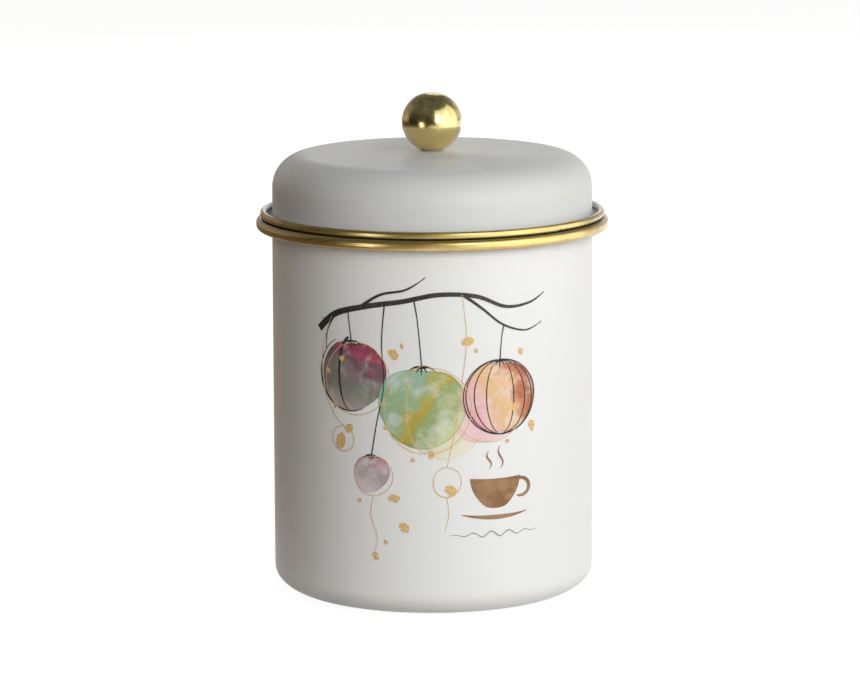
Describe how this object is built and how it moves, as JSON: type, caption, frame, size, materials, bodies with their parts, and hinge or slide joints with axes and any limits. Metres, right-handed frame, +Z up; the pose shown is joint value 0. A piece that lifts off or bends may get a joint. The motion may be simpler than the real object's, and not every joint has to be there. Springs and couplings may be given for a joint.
{
  "type": "tea canister",
  "caption": "Round metal tea canister with a drawn rounded base, a domed lid that rests on its rim, gilt rolled edges and a ball knob.",
  "frame": {"origin": "centre of the base, on the plane that the canister stands on", "axes": "+Z up along the axis of the body; the printed side faces -Y"},
  "size_m": [0.1154, 0.1154, 0.1647],
  "materials": {
    "body_enamel": "satin white enamel with a small colour print",
    "lid_enamel": "satin white enamel",
    "gilt_edge": "satin gilt, finely grained",
    "polished_knob": "polished brass with faint orange peel"
  },
  "bodies": {
    "root": {"canister_body": "body_enamel", "body_edge": "gilt_edge", "lid": "lid_enamel", "lid_edge": "gilt_edge", "knob": "polished_knob"}
  },
  "joints": []
}
